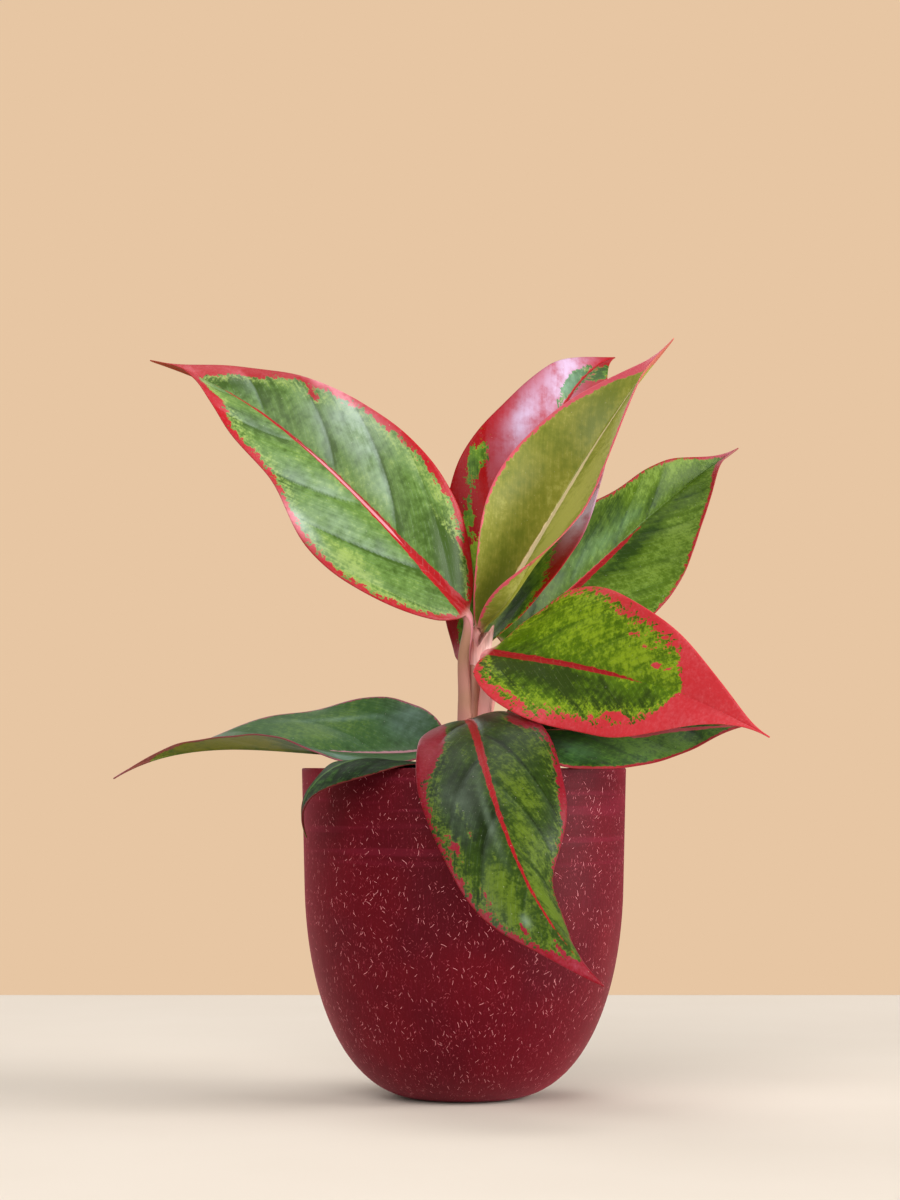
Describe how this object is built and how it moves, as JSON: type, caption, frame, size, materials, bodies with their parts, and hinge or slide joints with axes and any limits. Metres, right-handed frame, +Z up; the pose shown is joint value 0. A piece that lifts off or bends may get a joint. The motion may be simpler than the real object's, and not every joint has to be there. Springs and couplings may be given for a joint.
{
  "type": "potted chinese evergreen",
  "caption": "Round-bottomed burgundy planter filled with potting mix, holding a young Chinese evergreen with broad red-edged green leaves round one upright stem.",
  "frame": {"origin": "centre of the planter's flat foot, on the surface it stands on", "axes": "+Z up along the planter's axis, -Y towards the side the plant is seen from, +X to that side's right"},
  "size_m": [0.2401, 0.2147, 0.2867],
  "materials": {
    "burgundy_pot": "matte burgundy plastic-and-fibre composite with pale pink fibre flecks",
    "potting_mix": "damp crumbly potting mix",
    "pink_stem": "satin pale pink plant stem",
    "red_edged_leaf": "satin green leaf with a red margin and midrib",
    "red_leaf": "glossy red leaf with green patches",
    "young_leaf": "satin olive young leaf with a cream midrib",
    "dark_leaf": "satin dark green leaf with a thin pink margin"
  },
  "bodies": {
    "root": {"pot": "burgundy_pot", "soil": "potting_mix", "stem": "pink_stem", "leaf_upper_left": "red_edged_leaf", "leaf_back_tall": "red_leaf", "leaf_new_center": "young_leaf", "leaf_back_right": "red_edged_leaf", "leaf_front_right": "red_edged_leaf", "leaf_front_drooping": "dark_leaf", "leaf_lower_left": "dark_leaf", "leaf_rim_left": "dark_leaf", "leaf_lower_right": "dark_leaf"}
  },
  "joints": []
}
